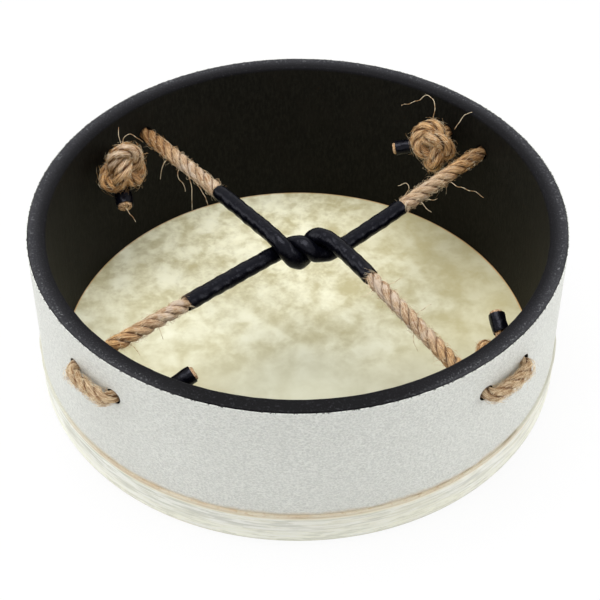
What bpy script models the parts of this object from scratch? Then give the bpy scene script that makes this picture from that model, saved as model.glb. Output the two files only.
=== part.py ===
"""Buffalo drum: a hoop shell with one glued head and a handle of two crossed, sleeved ropes.

The drum lies on its head with the open back up, and its origin is the middle of the head's
playing face. Each rope is one piece. It starts in a stopper knot against the inside of the
shell, goes out through one hole, round the outside and in through the next, twists round the
other rope in the middle of the drum and ends the same way on the far side.
"""
import bpy
import bmesh
import numpy as np
from math import cos, degrees, pi, radians, sin, sqrt
from mathutils import Matrix

# Shell, in metres
SHELL_RADIUS = 0.1320
SHELL_WALL = 0.0087
DRUM_DEPTH = 0.0894
RIM_OUTER_ROUND = 0.0006
RIM_INNER_ROUND = 0.0020
BEARING_ROUND = 0.0022

# Cover, head and glue line
COVER_THICKNESS = 0.0003
COVER_SETBACK = 0.0005
HEAD_THICKNESS = 0.0004
HEAD_CORNER = 0.0030
SKIRT_HEIGHT = 0.0186
GLUE_HEIGHT = 0.0013
GLUE_PROUD = 0.0009

# Rope holes: a pair at each corner of the cross, each drilled toward the drum's axis
HOLE_DIAMETER = 0.0084
HOLE_DROP = 0.0209
HOLE_SPREAD = 0.0280
LEG_AZIMUTH = {"nw": 131.9, "sw": 219.0, "se": 310.25, "ne": 37.3}

# Ropes and the sleeves shrunk over them
ROPE_DIAMETER = 0.0080
ROPE_IN_SLEEVE = 0.0066
ROPE_IN_KNOT = 0.0062
ROPE_IN_TWIST = 0.0056
ROPE_EASE = 0.0040
SLEEVE_WALL = 0.0005
SLEEVE_REACH = {"nw": 0.0489, "sw": 0.0580, "se": 0.0334, "ne": 0.0502}
ROPE_BEND = 0.0035
LOOP_BULGE = 0.0003

# The twist of the two ropes in the middle of the drum: one full turn, whose eighths 0, 3, 7
# and 8 lie at these distances to the right of the drum's axis
TWIST_EIGHTHS = [0, 3, 7, 8]
TWIST_AT = [-0.0105, 0.0003, 0.0093, 0.0160]
TWIST_GAP = 0.0016
TWIST_SHARE = 0.70
TWIST_DROP = 0.0020

# Stopper knots and the caps on their tails
KNOT_GAP = 0.0010
KNOT_STAND_OFF = 0.0162
CAP_LENGTH = 0.0100
CAP_WALL = 0.0006
CAP_SETBACK = 0.0006

# Clearance between pieces that touch on the real drum
SEAT = 0.0003

# Fineness
TURNS = 80
ROUND_STEPS = 4
ROPE_SIDES = 8
STATION_TURN = radians(21)
STATION_RUN = 0.0110
PATH_STEP = 0.0010
CURVE_STEPS = 16
SOFTENING = 5
HOLE_SIDES = 16
DRILL_OVERRUN = 0.0060
SHARP_ANGLE = radians(40)

# Colours, linear
BLACK_WOOD = (0.018, 0.018, 0.020)
OFF_WHITE = (0.78, 0.78, 0.76)
CREAM = (0.72, 0.66, 0.48)
TAN_GLUE = (0.45, 0.28, 0.12)
SAND = (0.50, 0.36, 0.20)
BLACK_SLEEVE = (0.012, 0.013, 0.016)

COVER_INNER = SHELL_RADIUS + SEAT
COVER_OUTER = COVER_INNER + COVER_THICKNESS
SKIRT_INNER = COVER_OUTER + SEAT
SKIRT_OUTER = SKIRT_INNER + HEAD_THICKNESS
SHELL_INNER = SHELL_RADIUS - SHELL_WALL
SHELL_FOOT = HEAD_THICKNESS + SEAT
HOLE_HEIGHT = DRUM_DEPTH - HOLE_DROP
LOOP_RADIUS = COVER_OUTER + SEAT + ROPE_BEND
HOLE_TURN = degrees(HOLE_SPREAD / LOOP_RADIUS)
SLEEVE_IN_TWIST = ROPE_IN_TWIST + 2 * SEAT + 2 * SLEEVE_WALL
TWIST_HEIGHT = HOLE_HEIGHT - TWIST_DROP
KNOT_PITCH = ROPE_IN_KNOT + KNOT_GAP
KNOT_SWAY = 0.52 * KNOT_PITCH
KNOT_RING = KNOT_SWAY + 0.605 * KNOT_PITCH

# How each knot lies: the turn of its open lobe from straight up, its hand, where its middle
# lies from its hole (down and anticlockwise round the wall), where its tail points and how far.
KNOTS = {
    "nw": {"spin": 130, "hand": -1, "down": -0.0038, "along": 0.0063,
           "tail": (0.19, -0.93, -0.33), "reach": 0.0130},
    "ne": {"spin": 172, "hand": 1, "down": -0.0014, "along": -0.0032,
           "tail": (-0.98, 0.01, -0.20), "reach": 0.0130},
    "sw": {"spin": 131, "hand": 1, "down": 0.0238, "along": -0.0115,
           "tail": (0.83, 0.42, 0.36), "reach": 0.0228},
    "se": {"spin": 83, "hand": 1, "down": 0.0288, "along": 0.0135,
           "tail": (-0.19, 0.90, 0.40), "reach": 0.0157},
}

# The last of a knot's lead behind it, in knot pitches: toward the open lobe, sideways and away
# from the wall.
KNOT_LEAD = [(1.10, 0.0, -1.26), (1.56, 0.0, -1.05), (1.74, 0.0, -0.62)]
LEAD_DEPTH = 1.5


def around(azimuth, radius, height):
    """A point at an azimuth in degrees, a distance from the drum's axis and a height."""
    a = radians(azimuth)
    return np.array([radius * cos(a), radius * sin(a), height])


def unit(vector):
    vector = np.array(vector, float)
    return vector / np.linalg.norm(vector)


def twist_points(share, side):
    """One rope's stretch of the twist, left crossing to right; side 1 starts on top, -1 below."""
    sway = share * (SLEEVE_IN_TWIST + TWIST_GAP)
    points = []
    for i in range(13):
        phase = 2 * pi * i / 12
        x = np.interp(i / 12 * 8, TWIST_EIGHTHS, TWIST_AT)
        points.append(np.array([x, -side * sway * sin(phase), TWIST_HEIGHT + side * sway * cos(phase)]))
    return points


def outside_points(corner):
    """From inside the leg's hole, out, along the cover and in again through the knot's hole."""
    start = COVER_OUTER + SEAT
    quarter = [pi / 2 * i / 4 for i in range(5)]
    bend = [(ROPE_BEND * (1 - cos(a)), start + ROPE_BEND * sin(a)) for a in quarter]
    middle = [(HOLE_SPREAD / 2, LOOP_RADIUS + LOOP_BULGE)]
    back = [(HOLE_SPREAD - along, radius) for along, radius in reversed(bend)]
    wall = (SHELL_INNER + start) / 2
    mouth = SHELL_INNER - SEAT
    path = [(0, mouth), (0, wall)] + bend + middle + back + [(HOLE_SPREAD, wall), (HOLE_SPREAD, mouth)]
    azimuth = LEG_AZIMUTH[corner]
    return [around(azimuth + degrees(along / LOOP_RADIUS), radius, HOLE_HEIGHT) for along, radius in path]


def knot_points(corner):
    """An overhand stopper knot: a lead behind it, two turns that sway past each other, a tail."""
    lie = KNOTS[corner]
    azimuth = LEG_AZIMUTH[corner] + HOLE_TURN
    outward = around(azimuth, 1, 0)
    up = np.array([0.0, 0.0, 1.0])
    anticlockwise = np.cross(up, outward)
    spin = radians(lie["spin"])
    lobe = cos(spin) * up + sin(spin) * anticlockwise
    inward = -outward
    across = np.cross(inward, lobe) * lie["hand"]
    middle = around(azimuth, SHELL_INNER - KNOT_STAND_OFF, HOLE_HEIGHT - lie["down"])
    middle = middle + lie["along"] * anticlockwise
    mouth = around(azimuth, SHELL_INNER - SEAT, HOLE_HEIGHT)
    lead = [middle + (x * lobe + y * across + z * inward) * KNOT_PITCH for x, y, z in KNOT_LEAD]
    sideways = lead[0] - mouth
    sideways = unit(sideways - sideways.dot(inward) * inward)
    bend = KNOT_STAND_OFF - SEAT - LEAD_DEPTH * KNOT_PITCH
    quarter = [pi / 2 * i / 4 for i in range(1, 5)]
    points = [mouth + bend * (sin(a) * inward + (1 - cos(a)) * sideways) for a in quarter]
    behind = middle - LEAD_DEPTH * KNOT_PITCH * inward
    if np.linalg.norm(behind - points[-1]) > KNOT_PITCH:
        points.append(behind)
    points = points + lead
    last_turn = 11 * pi / 6
    for i in range(25):
        t = last_turn * i / 24
        ring = KNOT_RING + KNOT_SWAY * cos(3 * t)
        turn = ring * (cos(2 * t) * lobe + sin(2 * t) * across)
        points.append(middle + turn + KNOT_SWAY * sin(3 * t) * inward)
    leaving = unit(points[-1] - points[-2])
    tail = unit(lie["tail"])
    turned = points[-1] + 0.55 * KNOT_PITCH * leaving + 0.45 * KNOT_PITCH * tail
    points.append(turned)
    points.append(turned + lie["reach"] / 2 * tail)
    points.append(turned + lie["reach"] * tail)
    return points


def smooth_path(points):
    """A smooth curve through the points, about a point each millimetre, its bends softened."""
    points = np.array(points)
    points = np.vstack([2 * points[0] - points[1], points, 2 * points[-1] - points[-2]])
    curve = []
    for p0, p1, p2, p3 in zip(points, points[1:], points[2:], points[3:]):
        t1 = sqrt(np.linalg.norm(p1 - p0))
        t2 = t1 + sqrt(np.linalg.norm(p2 - p1))
        t3 = t2 + sqrt(np.linalg.norm(p3 - p2))
        for t in np.linspace(t1, t2, CURVE_STEPS, endpoint=False):
            a1 = ((t1 - t) * p0 + t * p1) / t1
            a2 = ((t2 - t) * p1 + (t - t1) * p2) / (t2 - t1)
            a3 = ((t3 - t) * p2 + (t - t2) * p3) / (t3 - t2)
            b1 = ((t2 - t) * a1 + t * a2) / t2
            b2 = ((t3 - t) * a2 + (t - t1) * a3) / (t3 - t1)
            curve.append(((t2 - t) * b1 + (t - t1) * b2) / (t2 - t1))
    curve.append(points[-2])
    curve = np.array(curve)
    run = runs(curve)
    at = np.linspace(0.0, run[-1], round(run[-1] / PATH_STEP) + 1)
    curve = np.stack([np.interp(at, run, curve[:, axis]) for axis in range(3)], axis=1)
    for _ in range(SOFTENING):
        curve[1:-1] = 0.5 * curve[1:-1] + 0.25 * (curve[:-2] + curve[2:])
    return curve


def runs(path):
    """The distance along a path to each of its points."""
    return np.concatenate([[0.0], np.cumsum(np.linalg.norm(np.diff(path, axis=0), axis=1))])


class Rope:
    """One rope: its path from tail to tail, where its sleeve and legs begin, and its rings."""

    def __init__(self, first, last, share, side):
        twist = twist_points(share, side)
        ends = [outside_points(corner) + knot_points(corner) for corner in (first, last)]
        self.path = smooth_path(ends[0][::-1] + twist + ends[1])
        self.run = runs(self.path)
        self.length = self.run[-1]
        self.leg_first = self.run_near(outside_points(first)[0])
        self.leg_last = self.run_near(outside_points(last)[0])
        self.twist = [self.run_near(twist[i]) for i in (0, 3, 10, 12)]
        self.sleeve_from = self.twist[0] - SLEEVE_REACH[first]
        self.sleeve_to = self.twist[-1] + SLEEVE_REACH[last]
        self.caps = {
            first: (CAP_SETBACK, CAP_SETBACK + CAP_LENGTH),
            last: (self.length - CAP_SETBACK - CAP_LENGTH, self.length - CAP_SETBACK),
        }
        self.tangents = np.gradient(self.path, axis=0)
        self.tangents /= np.linalg.norm(self.tangents, axis=1)[:, None]
        self.sides = self.carried_sides()
        self.stations = self.placed_stations()

    def run_near(self, point):
        return self.run[np.linalg.norm(self.path - point, axis=1).argmin()]

    def carried_sides(self):
        """A side direction at each path point, carried along without twisting."""
        side = unit(np.cross(self.tangents[0], (0.3, 0.5, 0.8)))
        sides = []
        for tangent in self.tangents:
            side = unit(side - side.dot(tangent) * tangent)
            sides.append(side)
        return np.array(sides)

    def placed_stations(self):
        """Runs with a ring: at every end of a sleeve or cap, each set turn and each set length."""
        forced = [0.0, self.length, self.leg_first, self.leg_first + ROPE_EASE]
        forced += [self.leg_last - ROPE_EASE, self.leg_last]
        forced += [self.sleeve_from - ROPE_EASE, self.sleeve_from - SEAT, self.sleeve_from]
        forced += [self.sleeve_to, self.sleeve_to + SEAT, self.sleeve_to + ROPE_EASE]
        for from_run, to_run in self.caps.values():
            forced += [from_run, to_run]
        forced = sorted(forced)
        placed = list(forced)
        last_run = 0.0
        last_tangent = self.tangents[0]
        for run, tangent in zip(self.run, self.tangents):
            passed = [at for at in forced if last_run < at <= run]
            if passed:
                last_run = passed[-1]
                last_tangent = self.at(last_run)[1]
                continue
            turn = np.arccos(np.clip(tangent.dot(last_tangent), -1.0, 1.0))
            if turn < STATION_TURN and run - last_run < STATION_RUN:
                continue
            if min(at - run for at in forced if at >= run) > PATH_STEP:
                placed.append(run)
            last_run = run
            last_tangent = tangent
        return sorted(placed)

    def at(self, run):
        """The middle, direction and side direction of the rope at a run."""
        middle = [np.interp(run, self.run, self.path[:, axis]) for axis in range(3)]
        tangent = unit([np.interp(run, self.run, self.tangents[:, axis]) for axis in range(3)])
        side = np.array([np.interp(run, self.run, self.sides[:, axis]) for axis in range(3)])
        return np.array(middle), tangent, unit(side - side.dot(tangent) * tangent)

    def radius(self, run):
        """Squeezed in the knots, outside loops, sleeve and twist, full in the legs between."""
        full = ROPE_DIAMETER / 2
        knot = ROPE_IN_KNOT / 2
        sleeve_runs = [self.sleeve_from - ROPE_EASE, self.sleeve_from - SEAT]
        sleeve_runs += [self.sleeve_to + SEAT, self.sleeve_to + ROPE_EASE]
        sleeve = ROPE_IN_SLEEVE / 2
        at_runs = [self.leg_first, self.leg_first + ROPE_EASE] + sleeve_runs[:2] + self.twist
        at_runs += sleeve_runs[2:] + [self.leg_last - ROPE_EASE, self.leg_last]
        twist = [sleeve, ROPE_IN_TWIST / 2, ROPE_IN_TWIST / 2, sleeve]
        return np.interp(run, at_runs, [knot, full, full, sleeve] + twist + [sleeve, full, full, knot])

    def least_gap(self, other):
        """The least distance between the faces of this rope and another, or its own far parts."""
        own = self.run if other is self else None
        least = 1.0
        radii = np.array([self.radius(run) for run in self.run])
        others = np.array([other.radius(run) for run in other.run])
        for i, point in enumerate(self.path):
            gaps = np.linalg.norm(other.path - point, axis=1) - radii[i] - others
            if own is not None:
                gaps = gaps[np.abs(own - own[i]) > 2 * ROPE_DIAMETER]
            least = min(least, gaps.min())
        return least


def tube(name, rope, runs_at, wall=None):
    """The rope itself through rings at the given runs or, where wall is set, a sleeve over it."""
    bm = bmesh.new()

    def ring(run, radius):
        middle, tangent, side = rope.at(run)
        over = np.cross(tangent, side)
        corners = []
        for i in range(ROPE_SIDES):
            a = 2 * pi * i / ROPE_SIDES
            corners.append(bm.verts.new(middle + radius * (cos(a) * side + sin(a) * over)))
        return corners

    def skin(rings):
        for one, two in zip(rings, rings[1:]):
            for i in range(ROPE_SIDES):
                j = (i + 1) % ROPE_SIDES
                bm.faces.new((one[i], one[j], two[j], two[i]))

    if wall is None:
        rings = [ring(run, rope.radius(run)) for run in runs_at]
        skin(rings)
        bm.faces.new(rings[0])
        bm.faces.new(rings[-1])
    else:
        outside = [ring(run, rope.radius(run) + SEAT + wall) for run in runs_at]
        inside = [ring(run, rope.radius(run) + SEAT) for run in runs_at]
        skin(outside + inside[::-1] + outside[:1])
    bmesh.ops.recalc_face_normals(bm, faces=bm.faces)
    return add_body(name, bm)


def add_body(name, bm):
    mesh = bpy.data.meshes.new(name)
    bm.to_mesh(mesh)
    bm.free()
    body = bpy.data.objects.new(name, mesh)
    bpy.context.collection.objects.link(body)
    return body


def arc(middle_x, middle_z, radius, from_angle, to_angle):
    """Points of a rounded corner, angles in degrees from +X toward +Z."""
    points = []
    for i in range(ROUND_STEPS + 1):
        a = radians(from_angle + (to_angle - from_angle) * i / ROUND_STEPS)
        points.append((middle_x + radius * cos(a), middle_z + radius * sin(a)))
    return points


def lathe(name, profile, closed=True):
    """A body turned about Z from a profile that runs down its outer side."""
    bm = bmesh.new()
    corners = [bm.verts.new((x, 0.0, z)) for x, z in profile]
    for one, two in zip(corners, corners[1:]):
        bm.edges.new((one, two))
    if closed:
        bm.edges.new((corners[-1], corners[0]))
    body = add_body(name, bm)
    turn = body.modifiers.new("turn", "SCREW")
    turn.angle = 2 * pi
    turn.steps = TURNS
    turn.render_steps = TURNS
    turn.use_merge_vertices = True
    turn.merge_threshold = 0.00001
    return body


def shell_profile():
    """The hoop's section: rim with an outer and an inner round, bearing edge with an outer one."""
    outer = RIM_OUTER_ROUND
    inner = RIM_INNER_ROUND
    bearing = BEARING_ROUND
    profile = arc(SHELL_INNER + inner, DRUM_DEPTH - inner, inner, 180, 90)
    profile += arc(SHELL_RADIUS - outer, DRUM_DEPTH - outer, outer, 90, 0)
    profile += arc(SHELL_RADIUS - bearing, SHELL_FOOT + bearing, bearing, 0, -90)
    profile.append((SHELL_INNER, SHELL_FOOT))
    return profile


def cover_profile():
    top = DRUM_DEPTH - COVER_SETBACK
    bottom = HEAD_CORNER + SEAT
    return [(COVER_INNER, top), (COVER_OUTER, top), (COVER_OUTER, bottom), (COVER_INNER, bottom)]


def head_profile():
    """From the middle of the head's inner face, up the skirt, over and down to the playing face."""
    middle_x = SKIRT_OUTER - HEAD_CORNER
    inner_corner = HEAD_CORNER - HEAD_THICKNESS
    profile = [(0.0, HEAD_THICKNESS)]
    profile += arc(middle_x, HEAD_CORNER, inner_corner, -90, 0)
    profile += [(SKIRT_INNER, SKIRT_HEIGHT), (SKIRT_OUTER, SKIRT_HEIGHT)]
    profile += arc(middle_x, HEAD_CORNER, HEAD_CORNER, 0, -90)
    profile.append((0.0, 0.0))
    return profile


def glue_profile():
    """A low rounded bead on the cover, standing on the skirt's edge."""
    foot = SKIRT_HEIGHT + SEAT
    wall = COVER_OUTER + SEAT
    profile = [(wall, foot + GLUE_HEIGHT)]
    for i in range(1, 4):
        a = pi * (0.5 - i / 4)
        x = wall + GLUE_PROUD * cos(a)
        profile.append((x, foot + GLUE_HEIGHT / 2 * (1 + sin(a))))
    profile.append((wall, foot))
    return profile


def hole_cutter():
    """The eight radial drills that go through the shell and its cover."""
    bm = bmesh.new()
    length = SHELL_WALL + 2 * DRILL_OVERRUN
    middle = SHELL_RADIUS - SHELL_WALL / 2
    for azimuth in LEG_AZIMUTH.values():
        for turn in (azimuth, azimuth + HOLE_TURN):
            place = Matrix.Translation(around(turn, middle, HOLE_HEIGHT))
            place = place @ Matrix.Rotation(radians(turn), 4, "Z") @ Matrix.Rotation(pi / 2, 4, "Y")
            radius = HOLE_DIAMETER / 2
            bmesh.ops.create_cone(bm, cap_ends=True, segments=HOLE_SIDES, radius1=radius,
                                  radius2=radius, depth=length, matrix=place)
    cutter = add_body("rope_hole_cutter", bm)
    cutter.hide_render = True
    cutter.display_type = "WIRE"
    return cutter


def drill(body, cutter):
    holes = body.modifiers.new("rope holes", "BOOLEAN")
    holes.operation = "DIFFERENCE"
    holes.solver = "EXACT"
    holes.object = cutter


def finish(body, color, roughness, metallic=0.0):
    """Smooth shading with its true corners kept, and a material of its own."""
    body.data.shade_smooth()
    body.data.set_sharp_from_angle(angle=SHARP_ANGLE)
    material = bpy.data.materials.new(body.name)
    material.use_nodes = True
    surface = material.node_tree.nodes["Principled BSDF"]
    surface.inputs["Base Color"].default_value = (*color, 1.0)
    surface.inputs["Roughness"].default_value = roughness
    surface.inputs["Metallic"].default_value = metallic
    body.data.materials.append(material)


def main():
    for old in list(bpy.data.objects):
        bpy.data.objects.remove(old, do_unlink=True)

    cutter = hole_cutter()
    shell = lathe("shell", shell_profile())
    cover = lathe("shell_cover", cover_profile())
    drill(shell, cutter)
    drill(cover, cutter)
    finish(shell, BLACK_WOOD, 0.65)
    finish(cover, OFF_WHITE, 0.60)
    finish(lathe("drum_head", head_profile(), closed=False), CREAM, 0.55)
    finish(lathe("glue_line", glue_profile()), TAN_GLUE, 0.45)

    ropes = {}
    for first, last, share, side in (("nw", "se", TWIST_SHARE, 1), ("sw", "ne", 1 - TWIST_SHARE, -1)):
        rope = Rope(first, last, share, side)
        ropes[first] = rope
        pair = first + "_" + last
        finish(tube("rope_" + pair, rope, rope.stations), SAND, 0.85)
        sleeve = [run for run in rope.stations if rope.sleeve_from <= run <= rope.sleeve_to]
        finish(tube("sleeve_" + pair, rope, sleeve, SLEEVE_WALL), BLACK_SLEEVE, 0.30)
        for corner, (from_run, to_run) in rope.caps.items():
            cap = [run for run in rope.stations if from_run <= run <= to_run]
            finish(tube("tail_cap_" + corner, rope, cap, CAP_WALL), BLACK_SLEEVE, 0.45)
        print("rope", first, last, "length mm", round(rope.length * 1000),
              "least gap to itself mm", round(rope.least_gap(rope) * 1000, 2))
    print("least gap between the ropes mm", round(ropes["nw"].least_gap(ropes["sw"]) * 1000, 2))


main()
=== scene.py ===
"""Looks of the buffalo drum: an open-backed hoop drum with a handle of two crossed, sleeved ropes."""

from math import cos, degrees, pi, radians, sin, sqrt

import bmesh
import bpy
import numpy as np
from mathutils import Matrix, Vector, noise as solid_noise


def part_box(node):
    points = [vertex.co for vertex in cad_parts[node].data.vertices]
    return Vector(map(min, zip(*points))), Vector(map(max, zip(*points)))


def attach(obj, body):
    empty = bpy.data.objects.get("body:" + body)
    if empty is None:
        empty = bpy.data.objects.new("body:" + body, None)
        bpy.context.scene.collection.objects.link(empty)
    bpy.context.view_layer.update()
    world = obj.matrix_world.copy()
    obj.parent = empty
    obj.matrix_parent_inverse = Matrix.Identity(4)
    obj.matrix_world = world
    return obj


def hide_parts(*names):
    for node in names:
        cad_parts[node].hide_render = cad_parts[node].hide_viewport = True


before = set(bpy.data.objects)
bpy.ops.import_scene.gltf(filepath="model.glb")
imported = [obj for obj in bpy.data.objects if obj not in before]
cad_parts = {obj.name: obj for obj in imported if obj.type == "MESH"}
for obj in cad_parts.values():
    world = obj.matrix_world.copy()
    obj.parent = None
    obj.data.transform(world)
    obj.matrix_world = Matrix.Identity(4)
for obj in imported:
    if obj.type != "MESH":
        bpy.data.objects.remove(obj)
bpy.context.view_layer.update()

# Camera of the photograph
CAMERA_PLACE = (0.0, -0.5993, 0.6003)
CAMERA_PITCH = radians(43.527)
CAMERA_YAW = radians(0.074)
CAMERA_ROLL = radians(0.152)
CAMERA_LENS = 96.0
SENSOR = 36.0

# Hoop, cover and head, from the frame and their walls
SHELL_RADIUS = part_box("shell")[1][0]
DRUM_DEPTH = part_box("shell")[1][2]
SHELL_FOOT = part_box("shell")[0][2]
SHELL_WALL = 0.0087
SHELL_INNER = SHELL_RADIUS - SHELL_WALL
RIM_OUTER_ROUND = 0.0006
RIM_INNER_ROUND = 0.0020
BEARING_ROUND = 0.0022
COVER_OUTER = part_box("shell_cover")[1][0]
COVER_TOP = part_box("shell_cover")[1][2]
COVER_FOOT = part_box("shell_cover")[0][2]
COVER_THICKNESS = 0.0003
SKIRT_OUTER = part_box("drum_head")[1][0]
SKIRT_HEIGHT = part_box("drum_head")[1][2]
HEAD_THICKNESS = 0.0004
HEAD_CORNER = 0.0030
GLUE_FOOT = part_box("glue_line")[0][2]
GLUE_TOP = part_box("glue_line")[1][2]
SEAT = 0.0003
ROUND_SEGMENTS = 5
TURNS = 360
SKIRT_ROWS = 26

# Rope holes and the ropes' route, as in the solids
HOLE_DIAMETER = 0.0084
HOLE_DROP = 0.0209
HOLE_SPREAD = 0.0280
HOLE_HEIGHT = DRUM_DEPTH - HOLE_DROP
LEG_AZIMUTH = {"nw": 131.9, "sw": 219.0, "se": 310.25, "ne": 37.3}
ROPE_DIAMETER = 0.0080
ROPE_IN_SLEEVE = 0.0066
ROPE_IN_KNOT = 0.0062
ROPE_IN_TWIST = 0.0056
ROPE_EASE = 0.0040
SLEEVE_WALL = 0.0005
SLEEVE_IN_TWIST = ROPE_IN_TWIST + 2 * SEAT + 2 * SLEEVE_WALL
SLEEVE_REACH = {"nw": 0.0489, "sw": 0.0580, "se": 0.0334, "ne": 0.0502}
ROPE_BEND = 0.0035
LOOP_BULGE = 0.0003
LOOP_RADIUS = COVER_OUTER + SEAT + ROPE_BEND
HOLE_TURN = degrees(HOLE_SPREAD / LOOP_RADIUS)
TWIST_EIGHTHS = [0, 3, 7, 8]
TWIST_AT = [-0.0105, 0.0003, 0.0093, 0.0160]
TWIST_GAP = 0.0016
TWIST_SHARE = 0.70
TWIST_HEIGHT = HOLE_HEIGHT - 0.0020
KNOT_PITCH = ROPE_IN_KNOT + 0.0010
KNOT_SWAY = 0.52 * KNOT_PITCH
KNOT_RING = KNOT_SWAY + 0.605 * KNOT_PITCH
KNOT_STAND_OFF = 0.0162
KNOT_LEAD = [(1.10, 0.0, -1.26), (1.56, 0.0, -1.05), (1.74, 0.0, -0.62)]
LEAD_DEPTH = 1.5
KNOTS = {
    "nw": {"spin": 130, "hand": -1, "down": -0.0038, "along": 0.0063,
           "tail": (0.19, -0.93, -0.33), "reach": 0.0130},
    "ne": {"spin": 172, "hand": 1, "down": -0.0014, "along": -0.0032,
           "tail": (-0.98, 0.01, -0.20), "reach": 0.0130},
    "sw": {"spin": 131, "hand": 1, "down": 0.0238, "along": -0.0115,
           "tail": (0.83, 0.42, 0.36), "reach": 0.0228},
    "se": {"spin": 83, "hand": 1, "down": 0.0288, "along": 0.0135,
           "tail": (-0.19, 0.90, 0.40), "reach": 0.0157},
}
CAP_LENGTH = 0.0100
CAP_WALL = 0.0006
CAP_SETBACK = 0.0006
CURVE_STEPS = 16
PATH_STEP = 0.0010
SOFTENING = 5

# The rope's make and its loose fibres
STRANDS = 3
LAY_LENGTH = 0.0220
STRAND_SIDES = 18
STRAND_SHARE = 0.545
STRAND_OFFSET = 0.455
YARNS = 6
YARN_TURN = 0.0210
YARN_RELIEF = 0.050
STRAND_ROUGHNESS = 0.08
ROPE_STEP = 0.0009
KNOT_FULLNESS = 1.22
KNOT_NARROWING = {"nw": 0.20, "ne": 0.20, "sw": 0.0, "se": 0.0}
TWIST_FULLNESS = 1.33
CAP_FULLNESS = {"nw": 1.24, "ne": 1.0, "sw": 1.14, "se": 1.04}
LEG_FULLNESS = 0.97
LOOP_FULLNESS = 1.04
LOOP_PRESS = 0.10
LOOP_SPREAD = 0.10
FIBRE_RADIUS = 0.000080
FIBRE_POINTS = 6
CLOSE_FIBRES = 1900
KNOT_FIBRES = 620
LOOP_FIBRES = 700
LOOSE_FIBRES = 1800
CURL_RADIUS = 0.00017

# Long loose fibres: the corner, the distance in millimetres along its leg from the wall, 0 at its
# knot or -1 at the cut end of its tail, and the fibre's course from there, in millimetres to the
# viewer's right and up
LONG_FIBRES = [
    ("ne", 0, [(0, 15), (1, 20), (-1, 26), (-4, 27), (-8, 24), (-15, 22), (-17, 21)]),
    ("ne", 0, [(11, 8), (15, 14), (19, 17), (21, 16), (23, 13)]),
    ("ne", 27, [(2, -3), (6, -6), (12, -8), (17, -10), (19, -12)]),
    ("ne", 56, [(-2, 3), (1, 8), (-1, 10), (-5, 9)]),
    ("ne", 49, [(2, -3), (4, -6), (7, -9)]),
    ("ne", 46, [(3, -3), (5, -4), (8, -3)]),
    ("nw", 0, [(-2, 11), (-1, 16), (4, 16), (9, 12)]),
    ("nw", 0, [(4, 3), (8, 5), (12, 6)]),
    ("nw", 0, [(-3, 12), (-4, 16), (-4, 20)]),
    ("nw", 24, [(-2, -3), (-4, -5), (-5, -8), (-6, -13)]),
    ("nw", 35, [(-2, -3), (-3, -5), (-2, -9), (1, -12), (1, -15)]),
    ("nw", 43, [(-2, -3), (0, -8), (0, -14), (0, -21)]),
    ("nw", 53, [(-3, -3), (0, -7), (3, -14)]),
    ("nw", -1, [(0, 0), (3, -4), (6, -8)]),
    ("se", 73, [(-2, -2), (-5, -4), (-9, -6)]),
    ("se", 69, [(2, 2), (5, 4), (9, 6)]),
    ("se", 46, [(2, 2), (5, 5), (9, 7)]),
    ("se", 41, [(-2, -2), (-2, -8), (0, -12)]),
    ("sw", 20, [(2, -3), (6, -6), (7, -9)]),
    ("sw", 40, [(-1, -3), (1, -6), (2, -10)]),
]


class Socket:
    """A node output that can be used in sums, or a number beside one."""

    def __init__(self, tree, output):
        self.tree = tree
        self.output = output

    def math(self, operation, *others, clamp=False):
        return add_node(self.tree, "ShaderNodeMath", {"operation": operation, "use_clamp": clamp},
                        {i: value for i, value in enumerate((self, *others))})

    def __add__(self, other):
        return self.math("ADD", other)

    def __mul__(self, other):
        return self.math("MULTIPLY", other)

    def __sub__(self, other):
        return self.math("SUBTRACT", other)

    def __rsub__(self, other):
        return self.math("MULTIPLY_ADD", -1.0, other)

    def __pow__(self, other):
        return self.math("POWER", other)

    __radd__ = __add__
    __rmul__ = __mul__

    def between(self, low, high):
        """0 at low, 1 at high, smooth in between."""
        return add_node(self.tree, "ShaderNodeMapRange", {"interpolation_type": "SMOOTHSTEP"},
                        {"Value": self, "From Min": low, "From Max": high})


def add_node(tree, kind, settings=(), inputs=(), output=0):
    """A node of any kind: its settings first, then the values or links of its sockets."""
    node = tree.nodes.new(kind)
    for name, value in dict(settings).items():
        if name == "stops":
            ramp = node.color_ramp
            while len(ramp.elements) < len(value):
                ramp.elements.new(0.5)
            for element, (place, color) in zip(ramp.elements, value):
                element.position = place
                element.color = color
        else:
            setattr(node, name, value)
    for key, value in dict(inputs).items():
        socket = node.inputs[key]
        if isinstance(value, Socket):
            tree.links.new(value.output, socket)
        else:
            socket.default_value = value
    return Socket(tree, node.outputs[output])


def rgba(r, g, b):
    return (r, g, b, 1.0)


def mix(tree, factor, one, other):
    """Colour one where the factor is 0, the other where it is 1."""
    return add_node(tree, "ShaderNodeMix", {"data_type": "RGBA"},
                    {"Factor": factor, 6: one, 7: other}, output=2)


def cloud(tree, vector, scale, detail=2.0, roughness=0.5, distortion=0.0):
    return add_node(tree, "ShaderNodeTexNoise", {},
                    {"Vector": vector, "Scale": scale, "Detail": detail, "Roughness": roughness,
                     "Distortion": distortion})


def stretched(tree, vector, scale):
    return add_node(tree, "ShaderNodeVectorMath", {"operation": "MULTIPLY"}, {0: vector, 1: scale})


def part_of(tree, vector, axis):
    return add_node(tree, "ShaderNodeSeparateXYZ", {}, {0: vector}, output="XYZ".index(axis))


def bump(tree, height, distance, strength=1.0):
    return add_node(tree, "ShaderNodeBump", {},
                    {"Height": height, "Distance": distance, "Strength": strength})


def new_material(name):
    """An empty Principled material: its tree, its shader node and object coordinates."""
    material = bpy.data.materials.new(name)
    material.use_nodes = True
    tree = material.node_tree
    shader = tree.nodes["Principled BSDF"]
    place = add_node(tree, "ShaderNodeTexCoord", output=3)
    return material, tree, shader, place


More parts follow.
